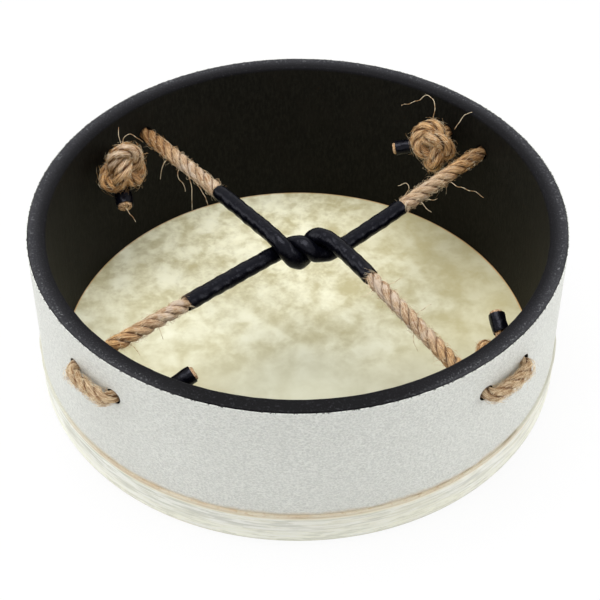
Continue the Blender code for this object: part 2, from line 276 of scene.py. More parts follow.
def set_up(tree, shader, **values):
    """Sets or links sockets of the shader, with _ for a blank in their names."""
    for name, value in values.items():
        socket = shader.inputs[name.replace("_", " ")]
        if isinstance(value, Socket):
            tree.links.new(value.output, socket)
        else:
            socket.default_value = value


def stained_hoop():
    """Black stained fibre board: matte and faintly flecked inside, blue-grey on the rim, with painted sheen
    toward the back and sides, a painted highlight along the outer edge and painted shade at the front.
    """
    material, tree, shader, place = new_material("black stained hoop")
    height = part_of(tree, place, "Z")
    rim = height.between(DRUM_DEPTH - 0.0026, DRUM_DEPTH - 0.0008)
    flecks = cloud(tree, stretched(tree, place, (1.0, 1.0, 0.35)), 700.0, 4.0, 0.7)
    mottle = cloud(tree, place, 38.0, 3.0)
    fine = cloud(tree, place, 1500.0, 2.0, 0.6)
    wall = mix(tree, flecks.between(0.35, 0.75), rgba(0.0020, 0.0019, 0.0012), rgba(0.0095, 0.0090, 0.0066))
    wall = mix(tree, mottle.between(0.45, 0.8) * 0.6, wall, rgba(0.0075, 0.0062, 0.0044))
    reach = part_of(tree, place, "X") ** 2.0 + part_of(tree, place, "Y") ** 2.0
    reach = reach ** 0.5
    # Painted sheen: the rim's face is painted lighter blue-grey toward the back and sides and stays darker at
    # the front.
    sheen_back_sides = part_of(tree, place, "Y").between(-0.135, 0.030)
    sides = part_of(tree, place, "X").between(0.045, 0.085) * 0.5
    sides = sides + part_of(tree, place, "X").between(-0.020, -0.080) * 0.35
    sheen_back_sides = (sheen_back_sides + sides).math("MINIMUM", 1.0)
    # Painted highlight: a light line along the rim's outer edge, strongest where the painted sheen is.
    edge_highlight = (reach + mottle * 0.0016).between(SHELL_RADIUS - 0.0012, SHELL_RADIUS + 0.0004)
    face = sheen_back_sides * reach.between(SHELL_INNER + 0.0015, SHELL_RADIUS - 0.0008)
    rim_wear_and_painted_light = mix(tree, face, rgba(0.0030, 0.0028, 0.0038), rgba(0.030, 0.030, 0.034))
    rim_wear_and_painted_light = mix(tree, edge_highlight * (face * 1.5 + 0.15).math("MINIMUM", 0.7), rim_wear_and_painted_light, rgba(0.040, 0.040, 0.044))
    rim_wear_and_painted_light = mix(tree, mottle.between(0.4, 0.7) * (face * 0.3 + 0.1), rim_wear_and_painted_light, rgba(0.013, 0.013, 0.016))
    chips = cloud(tree, place, 900.0, 3.0, 0.65)
    outer = reach.between(SHELL_RADIUS - 0.0040, SHELL_RADIUS - 0.0004)
    rim_wear_and_painted_light = mix(tree, chips.between(0.57, 0.66) * outer * 0.5, rim_wear_and_painted_light, rgba(0.13, 0.135, 0.14))
    rim_wear_and_painted_light = mix(tree, fine.between(0.59, 0.70) * (face * 0.5 + 0.1), rim_wear_and_painted_light, rgba(0.15, 0.155, 0.17))
    nicks = reach.between(SHELL_RADIUS - 0.0036, SHELL_RADIUS - 0.0026)
    nicks = nicks * reach.between(SHELL_RADIUS - 0.0006, SHELL_RADIUS - 0.0013)
    nicks = nicks * chips.between(0.57, 0.65) * sheen_back_sides.between(0.0, 0.4)
    rim_wear_and_painted_light = mix(tree, nicks * 0.38, rim_wear_and_painted_light, rgba(0.23, 0.235, 0.245))
    # Painted shade: the rim is darkened at the front.
    front_shade = part_of(tree, place, "Y").between(-0.060, -0.125)
    front_shade = front_shade * part_of(tree, place, "X").between(0.070, 0.020)
    front_shade = front_shade * part_of(tree, place, "X").between(-0.080, -0.040)
    rim_wear_and_painted_light = mix(tree, front_shade * 0.85, rim_wear_and_painted_light,
               mix(tree, chips.between(0.55, 0.68), rgba(0.0012, 0.0011, 0.0015), rgba(0.018, 0.018, 0.021)))
    set_up(tree, shader, Base_Color=mix(tree, rim, wall, rim_wear_and_painted_light), Roughness=0.62,
           Normal=bump(tree, flecks + fine * 0.6, 0.0004, 0.5))
    shader.inputs["Specular IOR Level"].default_value = 0.09
    return material


def textured_cover():
    """Off-white wrap with a very fine, even grain."""
    material, tree, shader, place = new_material("off-white grained cover")
    grain = cloud(tree, stretched(tree, place, (1.0, 1.0, 1.4)), 1000.0, 2.0, 0.6)
    folds = cloud(tree, stretched(tree, place, (1.0, 1.0, 2.2)), 560.0, 2.0, 0.6, 0.3)
    mottle = cloud(tree, place, 30.0, 3.0)
    relief = grain + folds * 0.6
    pale = mix(tree, relief.between(0.58, 1.02), rgba(0.615, 0.625, 0.585), rgba(0.81, 0.82, 0.77))
    color = mix(tree, mottle.between(0.42, 0.75) * 0.22, pale, rgba(0.66, 0.67, 0.62))
    patches = cloud(tree, stretched(tree, place, (1.0, 1.0, 0.0)), 70.0, 4.0, 0.65)
    smear = (part_of(tree, place, "Z") - patches * 0.0050).between(GLUE_TOP, GLUE_TOP - 0.0026)
    smear = smear * ((part_of(tree, place, "Y") ** 2.0).between(0.003, 0.011) * 0.75 + 0.25)
    color = mix(tree, smear * 0.70, color, rgba(0.68, 0.59, 0.44))
    ragged = cloud(tree, stretched(tree, place, (1.0, 1.0, 0.0)), 520.0, 4.0, 0.7)
    paint = (part_of(tree, place, "Z") + ragged * 0.0036).between(COVER_TOP + 0.0018, COVER_TOP + 0.0021)
    color = mix(tree, paint * 0.9, color, rgba(0.014, 0.014, 0.016))
    set_up(tree, shader, Base_Color=color, Roughness=0.6, Normal=bump(tree, relief, 0.0007, 0.95))
    shader.inputs["Specular IOR Level"].default_value = 0.35
    return material


def fibre_head():
    """Cream fibre membrane, blotchy inside, with a pale, wavy-streaked skirt; painted shade toward the front and
    right, painted light in the upper middle and at the skirt's foot, and a painted glow inside.
    """
    material, tree, shader, place = new_material("cream fibre head")
    height = part_of(tree, place, "Z")
    skirt = height.between(0.0012, 0.0030)
    blots = cloud(tree, place, 88.0, 3.0, 0.50, 0.3)
    drifts = cloud(tree, place, 34.0, 2.0, 0.5, 0.3)
    wide = cloud(tree, place, 11.0, 2.0, 0.5)
    fine = cloud(tree, place, 380.0, 3.0, 0.6)
    body = blots * 0.55 + drifts * 0.38 + fine * 0.12
    flat = mix(tree, body.between(0.36, 0.66), rgba(0.48, 0.44, 0.26), rgba(0.71, 0.695, 0.52))
    flat = mix(tree, body.between(0.56, 0.74), flat, rgba(0.75, 0.74, 0.58))
    across = part_of(tree, place, "X") * 5.5 + part_of(tree, place, "Y") * 1.5 + wide * 1.4
    flat = mix(tree, across.between(0.80, 1.30) * 0.55, flat, rgba(0.42, 0.37, 0.19))
    reach = (part_of(tree, place, "X") ** 2.0 + part_of(tree, place, "Y") ** 2.0) ** 0.5
    seam = (reach + drifts * 0.0008).between(SHELL_INNER - 0.0004, SHELL_INNER + 0.0003)
    seam = seam * reach.between(SHELL_INNER + 0.0014, SHELL_INNER + 0.0008)
    flat = mix(tree, seam * height.between(0.0001, 0.0003) * 0.85, flat, rgba(0.50, 0.27, 0.09))
    # Painted shade: the head is greyer toward the front, most of all at the front left and the front right.
    low = part_of(tree, place, "Y") * -7.0 + wide * 1.2
    flat = mix(tree, low.between(0.45, 1.20) * 0.85, flat, rgba(0.52, 0.52, 0.40))
    corner = part_of(tree, place, "X").between(-0.01, -0.06) * part_of(tree, place, "Y").between(0.0, -0.05)
    flat = mix(tree, corner * 0.70, flat, rgba(0.53, 0.48, 0.29))
    shade_right = part_of(tree, place, "X").between(0.0, 0.07) * part_of(tree, place, "Y").between(0.0, -0.06)
    flat = mix(tree, shade_right * 0.60, flat, rgba(0.38, 0.35, 0.24))
    upper = part_of(tree, place, "Y").between(-0.02, 0.06)
    mottles = cloud(tree, place, 160.0, 5.0, 0.65, 0.3) * 0.55 + body * 0.55
    flat = mix(tree, upper * mottles.between(0.64, 0.42) * 0.45, flat, rgba(0.45, 0.39, 0.20))
    lit = part_of(tree, place, "X").between(0.075, 0.0) * part_of(tree, place, "X").between(-0.20, -0.03)
    flat = mix(tree, upper * lit * mottles.between(0.46, 0.70) * 0.50, flat, rgba(0.86, 0.83, 0.61))
    waves = cloud(tree, stretched(tree, place, (1.0, 1.0, 13.0)), 34.0, 4.0, 0.60, 0.25)
    threads = cloud(tree, stretched(tree, place, (1.0, 1.0, 12.0)), 62.0, 4.0, 0.6, 0.30)
    tint = cloud(tree, place, 22.0, 2.0)
    side = mix(tree, waves.between(0.45, 0.55), rgba(0.70, 0.70, 0.63), rgba(0.84, 0.83, 0.72))
    # Painted light: the skirt is painted paler toward its foot.
    side = mix(tree, height.between(0.0125, 0.0040) * 0.85, side, rgba(0.97, 0.97, 0.83))
    dull = height.between(0.0040, 0.0125) * part_of(tree, place, "X").between(-0.02, -0.08)
    side = mix(tree, dull * 0.55, side, rgba(0.60, 0.61, 0.52))
    side = mix(tree, threads.between(0.50, 0.57) * 0.75, side, rgba(0.93, 0.93, 0.87))
    side = mix(tree, threads.between(0.47, 0.40) * 0.50, side, rgba(0.58, 0.58, 0.50))
    side = mix(tree, tint.between(0.45, 0.70) * 0.22, side, rgba(0.82, 0.80, 0.60))
    lip = height.between(SKIRT_HEIGHT - 0.0022, SKIRT_HEIGHT - 0.0008)
    side = mix(tree, lip * 0.8, side, rgba(0.88, 0.84, 0.67))
    stain = (height + drifts * 0.0012).between(SKIRT_HEIGHT - 0.0006, SKIRT_HEIGHT + 0.0004)
    side = mix(tree, stain * 0.7, side, rgba(0.62, 0.50, 0.32))
    # Painted glow: the inside of the head emits its own colour as painted light, standing in for light let
    # through the thin membrane; the skirt does not glow.
    through = mix(tree, skirt, flat, rgba(0.0, 0.0, 0.0))
    set_up(tree, shader, Base_Color=mix(tree, skirt, flat, side), Roughness=0.5,
           Normal=bump(tree, (waves * 1.5 + threads) * skirt, 0.0008, 0.7), Emission_Color=through)
    shader.inputs["Emission Strength"].default_value = 0.24
    shader.inputs["Specular IOR Level"].default_value = 0.35
    return material


def dried_glue():
    """Tan adhesive, streaky, brown in places and paler toward the left and right sides."""
    material, tree, shader, place = new_material("dried tan glue")
    run = cloud(tree, stretched(tree, place, (1.0, 1.0, 3.0)), 28.0, 4.0, 0.6)
    fine = cloud(tree, stretched(tree, place, (1.0, 1.0, 3.0)), 330.0, 3.0, 0.6)
    color = mix(tree, run.between(0.44, 0.62), rgba(0.70, 0.63, 0.49), rgba(0.62, 0.50, 0.35))
    color = mix(tree, fine.between(0.52, 0.68) * 0.6, color, rgba(0.52, 0.36, 0.21))
    paler_at_sides = (part_of(tree, place, "Y") ** 2.0 + run * 0.004).between(0.0125, 0.0055)
    color = mix(tree, paler_at_sides * 0.85, color, rgba(0.65, 0.66, 0.57))
    set_up(tree, shader, Base_Color=color, Roughness=0.55, Normal=bump(tree, fine, 0.0004, 0.5))
    return material


def natural_rope():
    """Laid hemp-like rope: pinkish pale crowns, brown crevices darkened as painted shade, fibres along the
    yarns, a painted highlight on the north-west knot's top, paler outside loops and painted shade where the legs
    meet the wall.
    """
    material, tree, shader, place = new_material("laid natural rope")
    uv = add_node(tree, "ShaderNodeUVMap", {"uv_map": "lay"})
    relief = add_node(tree, "ShaderNodeAttribute", {"attribute_name": "relief"}, output=2)
    fibres = cloud(tree, stretched(tree, uv, (150.0, 26.0, 1.0)), 1.0, 5.0, 0.7)
    strays = cloud(tree, stretched(tree, uv, (110.0, 30.0, 1.0)), 1.0, 3.0, 0.6, 0.8)
    patches = cloud(tree, place, 120.0, 3.0, 0.6)
    reach = (part_of(tree, place, "X") ** 2.0 + part_of(tree, place, "Y") ** 2.0) ** 0.5
    near_wall = reach.between(0.084, 0.112)
    loop = reach.between(SHELL_RADIUS, COVER_OUTER + SEAT)
    inside = reach.between(COVER_OUTER, SHELL_INNER)
    crown = mix(tree, fibres.between(0.40, 0.60), rgba(0.29, 0.150, 0.062), rgba(0.64, 0.475, 0.315))
    tied = near_wall * inside
    crown = mix(tree, patches.between(0.48, 0.62) * (0.60 - tied * 0.45), crown, rgba(0.66, 0.565, 0.475))
    crown = mix(tree, strays.between(0.55, 0.63) * 0.65, crown, rgba(0.78, 0.67, 0.52))
    stained = mix(tree, fibres.between(0.42, 0.58), rgba(0.18, 0.062, 0.010), rgba(0.84, 0.54, 0.25))
    crown = mix(tree, tied * patches.between(0.26, 0.46), crown, stained)
    knotted = tied * part_of(tree, place, "Y").between(0.020, 0.040)
    # Painted highlight: the top of the north-west knot is painted paler.
    top = part_of(tree, place, "Z").between(0.0740, 0.0800)
    top = top * part_of(tree, place, "X").between(-0.050, -0.060)
    pale = mix(tree, fibres.between(0.43, 0.57), rgba(0.36, 0.21, 0.10), rgba(1.0, 0.88, 0.72))
    crown = mix(tree, knotted * top * 0.8, crown, pale)
    low = part_of(tree, place, "Z").between(0.0730, 0.0660)
    orange = mix(tree, fibres.between(0.43, 0.57), rgba(0.26, 0.09, 0.015), rgba(1.0, 0.60, 0.25))
    crown = mix(tree, knotted * low * 0.8, crown, orange)
    # Paler in the outside loops, with lighter crevices.
    loop_paler = mix(tree, fibres.between(0.40, 0.60), rgba(0.30, 0.155, 0.055), rgba(0.76, 0.60, 0.39))
    crown = mix(tree, loop * 0.8, crown, loop_paler)
    # Painted shade: the crevices between the strands are darkened by their depth.
    crevice_shade = mix(tree, patches.between(0.4, 0.7), rgba(0.050, 0.018, 0.006), rgba(0.16, 0.066, 0.022))
    crevice_shade = mix(tree, loop * 0.6, crevice_shade, rgba(0.24, 0.115, 0.048))
    color = mix(tree, (relief - loop * 0.08 - tied * 0.15).between(0.20, 0.68), crevice_shade, crown)
    color = mix(tree, strays.between(0.40, 0.31) * 0.85, color, rgba(0.15, 0.060, 0.020))
    # Painted shadow: the north-east leg is darkened at its end beside the wall.
    corner = part_of(tree, place, "X").between(0.060, 0.100) * part_of(tree, place, "Y").between(0.040, 0.068)
    color = mix(tree, corner * reach.between(0.098, 0.116) * inside * 0.6, color, rgba(0.12, 0.062, 0.026))
    # Painted shade: the north-west and south-east legs are darkened where they go into their holes.
    corner = part_of(tree, place, "X").between(-0.060, -0.070) * part_of(tree, place, "Y").between(0.050, 0.062)
    hole_shade = corner * part_of(tree, place, "Z").between(0.0590, 0.0610) * reach.between(0.090, 0.112) * inside
    color = mix(tree, hole_shade * 0.60, color, rgba(0.20, 0.090, 0.032))
    corner = part_of(tree, place, "X").between(0.050, 0.062) * part_of(tree, place, "Y").between(-0.058, -0.070)
    hole_shade = corner * part_of(tree, place, "Z").between(0.0590, 0.0610) * inside
    color = mix(tree, hole_shade * 0.20, color, rgba(0.40, 0.27, 0.17))
    set_up(tree, shader, Base_Color=color, Roughness=0.70,
           Normal=bump(tree, fibres + strays * 0.6, 0.0006, 0.9))
    shader.inputs["Specular IOR Level"].default_value = 0.25
    return material


def loose_fibre(name, warmth):
    """Single fibres of the rope, from pale straw to brown, warmer beside the knots."""
    material, tree, shader, place = new_material(name)
    tone = cloud(tree, place, 420.0, 2.0)
    color = mix(tree, tone.between(0.40, 0.56), rgba(0.42, 0.26, 0.13), rgba(0.80, 0.67, 0.46))
    reach = (part_of(tree, place, "X") ** 2.0 + part_of(tree, place, "Y") ** 2.0) ** 0.5
    tied = reach.between(0.088, 0.108) * reach.between(COVER_OUTER, SHELL_INNER)
    color = mix(tree, tied * tone.between(0.60, 0.45) * warmth, color, rgba(0.56, 0.29, 0.085))
    set_up(tree, shader, Base_Color=color, Roughness=0.7)
    return material


def cut_rope():
    """The cut end of a rope, its yarns seen end on."""
    material, tree, shader, place = new_material("cut rope end")
    tone = cloud(tree, place, 1100.0, 3.0, 0.7)
    color = mix(tree, tone.between(0.38, 0.62), rgba(0.30, 0.15, 0.065), rgba(0.72, 0.50, 0.30))
    set_up(tree, shader, Base_Color=color, Roughness=0.9, Normal=bump(tree, tone, 0.0005, 1.0))
    return material


def shrunk_sleeve():
    """Black sleeve with a faint blue cast, satin where it is tight and scuffed in places."""
    material, tree, shader, place = new_material("black shrunk sleeve")
    scuffs = cloud(tree, place, 300.0, 4.0, 0.65)
    color = mix(tree, scuffs.between(0.58, 0.80), rgba(0.0016, 0.0017, 0.0034), rgba(0.009, 0.0095, 0.015))
    wrinkles = cloud(tree, place, 420.0, 2.0, 0.5)
    set_up(tree, shader, Base_Color=color, Roughness=scuffs * 0.20 + 0.17,
           Normal=bump(tree, scuffs * 0.6 + wrinkles, 0.0005, 0.55))
    shader.inputs["Specular IOR Level"].default_value = 0.14
    shader.inputs["Specular Tint"].default_value = rgba(0.84, 0.85, 1.0)
    return material


def deselect():
    if bpy.context.object and bpy.context.object.mode == "EDIT":
        bpy.ops.object.mode_set(mode="OBJECT")
    bpy.ops.object.select_all(action="DESELECT")


def start_edit(piece, mode="VERT"):
    deselect()
    piece.select_set(True)
    bpy.context.view_layer.objects.active = piece
    bpy.ops.object.mode_set(mode="EDIT")
    bpy.ops.mesh.select_mode(type=mode)
    bpy.ops.mesh.select_all(action="DESELECT")


def pick(piece, kind, test):
    """Selects the vertices, edges or faces of the edited mesh whose middle passes the test."""
    bm = bmesh.from_edit_mesh(piece.data)
    for part in getattr(bm, kind):
        middle = part.co if kind == "verts" else sum((v.co for v in part.verts), Vector()) / len(part.verts)
        part.select_set(bool(test(middle)))
    bm.select_flush_mode()
    bmesh.update_edit_mesh(piece.data)


def stop_edit():
    bpy.ops.object.mode_set(mode="OBJECT")


def settle(piece):
    """Puts the place and size of a piece into its mesh."""
    deselect()
    piece.select_set(True)
    bpy.context.view_layer.objects.active = piece
    bpy.ops.object.transform_apply(location=True, rotation=True, scale=True)


def apply_modifiers(piece):
    deselect()
    piece.select_set(True)
    bpy.context.view_layer.objects.active = piece
    for modifier in list(piece.modifiers):
        bpy.ops.object.modifier_apply(modifier=modifier.name)


def shade(piece, angle=40):
    deselect()
    piece.select_set(True)
    bpy.context.view_layer.objects.active = piece
    bpy.ops.object.shade_smooth_by_angle(angle=radians(angle))


def hoop(name, inner, outer, foot, top, corners):
    """A ring turned from a flat section, whose corners (x, z, round) are bevelled first."""
    deselect()
    bpy.ops.mesh.primitive_plane_add(size=1.0, rotation=(pi / 2, 0.0, 0.0),
                                     location=((inner + outer) / 2, 0.0, (foot + top) / 2))
    ring = bpy.context.object
    ring.name = name
    ring.scale = (outer - inner, top - foot, 1.0)
    settle(ring)
    for x, z, size in corners:
        start_edit(ring)
        pick(ring, "verts", lambda co: abs(co.x - x) < 1e-5 and abs(co.z - z) < 1e-5)
        bpy.ops.mesh.bevel(offset=size, offset_type="OFFSET", segments=ROUND_SEGMENTS,
                           affect="VERTICES", profile=0.5)
        stop_edit()
    start_edit(ring)
    bpy.ops.mesh.select_all(action="SELECT")
    bpy.ops.mesh.delete(type="ONLY_FACE")
    bpy.ops.mesh.select_all(action="SELECT")
    bpy.ops.mesh.spin(steps=TURNS, angle=2 * pi, center=(0.0, 0.0, 0.0), axis=(0.0, 0.0, 1.0))
    bpy.ops.mesh.select_all(action="SELECT")
    bpy.ops.mesh.remove_doubles(threshold=0.00002)
    bpy.ops.mesh.normals_make_consistent(inside=False)
    stop_edit()
    return ring


def drills():
    """The eight radial drills of the rope holes, joined into one cutter."""
    rods = []
    for azimuth in LEG_AZIMUTH.values():
        for turn in (azimuth, azimuth + HOLE_TURN):
            deselect()
            bpy.ops.mesh.primitive_cylinder_add(
                vertices=28, radius=HOLE_DIAMETER / 2, depth=SHELL_WALL * 2.5,
                location=around(turn, SHELL_RADIUS - SHELL_WALL / 2, HOLE_HEIGHT),
                rotation=(0.0, pi / 2, radians(turn)))
            rods.append(bpy.context.object)
    rods = join(rods)
    settle(rods)
    return rods


def drill(piece, cutter):
    cut = piece.modifiers.new("rope holes", "BOOLEAN")
    cut.operation = "DIFFERENCE"
    cut.solver = "EXACT"
    cut.object = cutter
    apply_modifiers(piece)


def roughen(piece, amount, scale, chosen=lambda co: True, stretch=(1.0, 1.0, 1.0)):
    """Moves chosen vertices along their normals by a solid noise, both ways."""
    mesh = piece.data
    moves = []
    for vertex in mesh.vertices:
        if chosen(vertex.co):
            at = Vector(c * s for c, s in zip(vertex.co, stretch)) * scale
            moves.append((vertex.index, vertex.normal * (amount * solid_noise.noise(at))))
    for index, move in moves:
        mesh.vertices[index].co += move
    mesh.update()


def finished(piece, material, node=None):
    """Gives a piece its material and its place in the frame."""
    piece.data.materials.clear()
    piece.data.materials.append(material)
    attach(piece, "root")
    if node:
        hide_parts(node)
    return piece


def around(azimuth, radius, height):
    """A point at an azimuth in degrees, a distance from the drum's axis and a height."""
    a = radians(azimuth)
    return np.array([radius * cos(a), radius * sin(a), height])


def unit(vector):
    vector = np.array(vector, float)
    return vector / np.linalg.norm(vector)


def twist_points(share, side):
    """One rope's stretch of the twist, left crossing to right; side 1 starts on top, -1 below."""
    sway = share * (SLEEVE_IN_TWIST + TWIST_GAP)
    points = []
    for i in range(13):
        phase = 2 * pi * i / 12
        x = np.interp(i / 12 * 8, TWIST_EIGHTHS, TWIST_AT)
        points.append(np.array([x, -side * sway * sin(phase), TWIST_HEIGHT + side * sway * cos(phase)]))
    return points


def outside_points(corner):
    """From inside the leg's hole, out, along the cover and in again through the knot's hole."""
    start = COVER_OUTER + SEAT
    quarter = [pi / 2 * i / 4 for i in range(5)]
    bend = [(ROPE_BEND * (1 - cos(a)), start + ROPE_BEND * sin(a)) for a in quarter]
    middle = [(HOLE_SPREAD / 2, LOOP_RADIUS + LOOP_BULGE)]
    back = [(HOLE_SPREAD - along, radius) for along, radius in reversed(bend)]
    wall = (SHELL_INNER + start) / 2
    mouth = SHELL_INNER - SEAT
    path = [(0, mouth), (0, wall)] + bend + middle + back + [(HOLE_SPREAD, wall), (HOLE_SPREAD, mouth)]
    azimuth = LEG_AZIMUTH[corner]
    return [around(azimuth + degrees(along / LOOP_RADIUS), radius, HOLE_HEIGHT) for along, radius in path]


def knot_points(corner):
    """An overhand stopper knot: a lead behind it, two turns that sway past each other, a tail."""
    lie = KNOTS[corner]
    azimuth = LEG_AZIMUTH[corner] + HOLE_TURN
    outward = around(azimuth, 1, 0)
    up = np.array([0.0, 0.0, 1.0])
    anticlockwise = np.cross(up, outward)
    spin = radians(lie["spin"])
    lobe = cos(spin) * up + sin(spin) * anticlockwise
    inward = -outward
    across = np.cross(inward, lobe) * lie["hand"]
    middle = around(azimuth, SHELL_INNER - KNOT_STAND_OFF, HOLE_HEIGHT - lie["down"])
    middle = middle + lie["along"] * anticlockwise
    mouth = around(azimuth, SHELL_INNER - SEAT, HOLE_HEIGHT)
    lead = [middle + (x * lobe + y * across + z * inward) * KNOT_PITCH for x, y, z in KNOT_LEAD]
    sideways = lead[0] - mouth
    sideways = unit(sideways - sideways.dot(inward) * inward)
    bend = KNOT_STAND_OFF - SEAT - LEAD_DEPTH * KNOT_PITCH
    quarter = [pi / 2 * i / 4 for i in range(1, 5)]
    points = [mouth + bend * (sin(a) * inward + (1 - cos(a)) * sideways) for a in quarter]
    behind = middle - LEAD_DEPTH * KNOT_PITCH * inward
    if np.linalg.norm(behind - points[-1]) > KNOT_PITCH:
        points.append(behind)
    points = points + lead
    last_turn = 11 * pi / 6
    narrowing = KNOT_NARROWING[corner]
    for i in range(25):
        t = last_turn * i / 24
        ring = KNOT_RING + KNOT_SWAY * cos(3 * t)
        turn = ring * (cos(2 * t) * lobe + sin(2 * t) * across)
        turn = turn - narrowing * min(1.0, (24 - i) / 4) * turn.dot(anticlockwise) * anticlockwise
        points.append(middle + turn + KNOT_SWAY * sin(3 * t) * inward)
    leaving = unit(points[-1] - points[-2])
    tail = unit(lie["tail"])
    turned = points[-1] + 0.55 * KNOT_PITCH * leaving + 0.45 * KNOT_PITCH * tail
    points.append(turned)
    points.append(turned + lie["reach"] / 2 * tail)
    points.append(turned + lie["reach"] * tail)
    return points


def smooth_path(points):
    """A smooth curve through the points, about a point each millimetre, its bends softened."""
    points = np.array(points)
    points = np.vstack([2 * points[0] - points[1], points, 2 * points[-1] - points[-2]])
    curve = []
    for p0, p1, p2, p3 in zip(points, points[1:], points[2:], points[3:]):
        t1 = sqrt(np.linalg.norm(p1 - p0))
        t2 = t1 + sqrt(np.linalg.norm(p2 - p1))
        t3 = t2 + sqrt(np.linalg.norm(p3 - p2))
        for t in np.linspace(t1, t2, CURVE_STEPS, endpoint=False):
            a1 = ((t1 - t) * p0 + t * p1) / t1
            a2 = ((t2 - t) * p1 + (t - t1) * p2) / (t2 - t1)
            a3 = ((t3 - t) * p2 + (t - t2) * p3) / (t3 - t2)
            b1 = ((t2 - t) * a1 + t * a2) / t2
            b2 = ((t3 - t) * a2 + (t - t1) * a3) / (t3 - t1)
            curve.append(((t2 - t) * b1 + (t - t1) * b2) / (t2 - t1))
    curve.append(points[-2])
    curve = np.array(curve)
    run = runs(curve)
    at = np.linspace(0.0, run[-1], round(run[-1] / PATH_STEP) + 1)
    curve = np.stack([np.interp(at, run, curve[:, axis]) for axis in range(3)], axis=1)
    for _ in range(SOFTENING):
        curve[1:-1] = 0.5 * curve[1:-1] + 0.25 * (curve[:-2] + curve[2:])
    return curve


def runs(path):
    """The distance along a path to each of its points."""
    return np.concatenate([[0.0], np.cumsum(np.linalg.norm(np.diff(path, axis=0), axis=1))])


class Rope:
    """One rope: its path from tail to tail, where its sleeve and knots begin, and its frames."""

    def __init__(self, first, last, share, side):
        twist = twist_points(share, side)
        ends = [outside_points(corner) + knot_points(corner) for corner in (first, last)]
        self.first = first
        self.last = last
        self.path = smooth_path(ends[0][::-1] + twist + ends[1])
        self.run = runs(self.path)
        self.length = self.run[-1]
        self.knot_first = self.run_near(outside_points(first)[-1])
        self.knot_last = self.run_near(outside_points(last)[-1])
        self.leg_first = self.run_near(outside_points(first)[0])
        self.leg_last = self.run_near(outside_points(last)[0])
        self.twist = [self.run_near(twist[i]) for i in (0, 3, 10, 12)]
        self.sleeve_from = self.twist[0] - SLEEVE_REACH[first]
        self.sleeve_to = self.twist[-1] + SLEEVE_REACH[last]
        self.tangents = np.gradient(self.path, axis=0)
        self.tangents /= np.linalg.norm(self.tangents, axis=1)[:, None]
        side = unit(np.cross(self.tangents[0], (0.3, 0.5, 0.8)))
        sides = []
        for tangent in self.tangents:
            side = unit(side - side.dot(tangent) * tangent)
            sides.append(side)
        self.sides = np.array(sides)

    def run_near(self, point):
        return self.run[np.linalg.norm(self.path - point, axis=1).argmin()]

    def at(self, runs_at):
        """Middles, directions and two side directions of the rope at an array of runs."""
        def along(values):
            return np.stack([np.interp(runs_at, self.run, values[:, axis]) for axis in range(3)], axis=1)
        middle = along(self.path)
        tangent = along(self.tangents)
        tangent /= np.linalg.norm(tangent, axis=1)[:, None]
        side = along(self.sides)
        side -= np.sum(side * tangent, axis=1)[:, None] * tangent
        side /= np.linalg.norm(side, axis=1)[:, None]
        return middle, tangent, side, np.cross(tangent, side)

    def radius(self, runs_at):
        """Squeezed in the sleeve and twist, pressed full in the knots, drawn tight in the loops."""
        full = ROPE_DIAMETER / 2 * LEG_FULLNESS
        knot = ROPE_IN_KNOT / 2 * KNOT_FULLNESS
        loop = ROPE_IN_KNOT / 2 * LOOP_FULLNESS
        tails = [ROPE_IN_KNOT / 2 * CAP_FULLNESS[corner] for corner in (self.first, self.last)]
        sleeve = ROPE_IN_SLEEVE / 2
        twist = ROPE_IN_TWIST / 2 * TWIST_FULLNESS
        cap = CAP_LENGTH + CAP_SETBACK
        at_runs = [cap, cap + ROPE_EASE, self.knot_first - ROPE_EASE, self.knot_first,
                   self.leg_first, self.leg_first + ROPE_EASE,
                   self.sleeve_from - ROPE_EASE, self.sleeve_from - SEAT, *self.twist,
                   self.sleeve_to + SEAT, self.sleeve_to + ROPE_EASE,
                   self.leg_last - ROPE_EASE, self.leg_last,
                   self.knot_last, self.knot_last + ROPE_EASE,
                   self.length - cap - ROPE_EASE, self.length - cap]
        sizes = [tails[0], knot, knot, loop, loop, full, full, sleeve, sleeve, twist, twist, sleeve,
                 sleeve, full, full, loop, loop, knot, knot, tails[1]]
        return np.interp(runs_at, at_runs, sizes)

    def flattened(self, points, middle, runs_at):
        """Presses points about their middles flat toward the cover in the outside loops."""
        quarter = (self.leg_first - self.knot_first) / 4
        shares = []
        for start, end in ((self.knot_first, self.leg_first), (self.leg_last, self.knot_last)):
            shares.append(np.interp(runs_at, [start, start + quarter, end - quarter, end], [0.0, 1.0, 1.0, 0.0]))
        share = (shares[0] + shares[1])[:, None]
        out = middle * np.array([1.0, 1.0, 0.0])
        out /= np.linalg.norm(out, axis=1)[:, None]
        offset = points - middle[:, None, :]
        radial = np.sum(offset * out[:, None, :], axis=2)
        change = -LOOP_PRESS * (share * radial)[:, :, None] * out[:, None, :]
        change[:, :, 2] += LOOP_SPREAD * share * offset[:, :, 2]
        return points + change


def grid_mesh(name, rings, closed_ends=True):
    """A mesh through an array of rings (ring, corner, xyz), joined round and along."""
    count, sides, _ = rings.shape
    vertices = rings.reshape(-1, 3)
    faces = []
    for i in range(count - 1):
        for j in range(sides):
            k = (j + 1) % sides
            faces.append((i * sides + j, i * sides + k, (i + 1) * sides + k, (i + 1) * sides + j))
    if closed_ends:
        faces.append(tuple(range(sides - 1, -1, -1)))
        faces.append(tuple(range((count - 1) * sides, count * sides)))
    mesh = bpy.data.meshes.new(name)
    mesh.from_pydata(vertices.tolist(), [], faces)
    mesh.update()
    return mesh


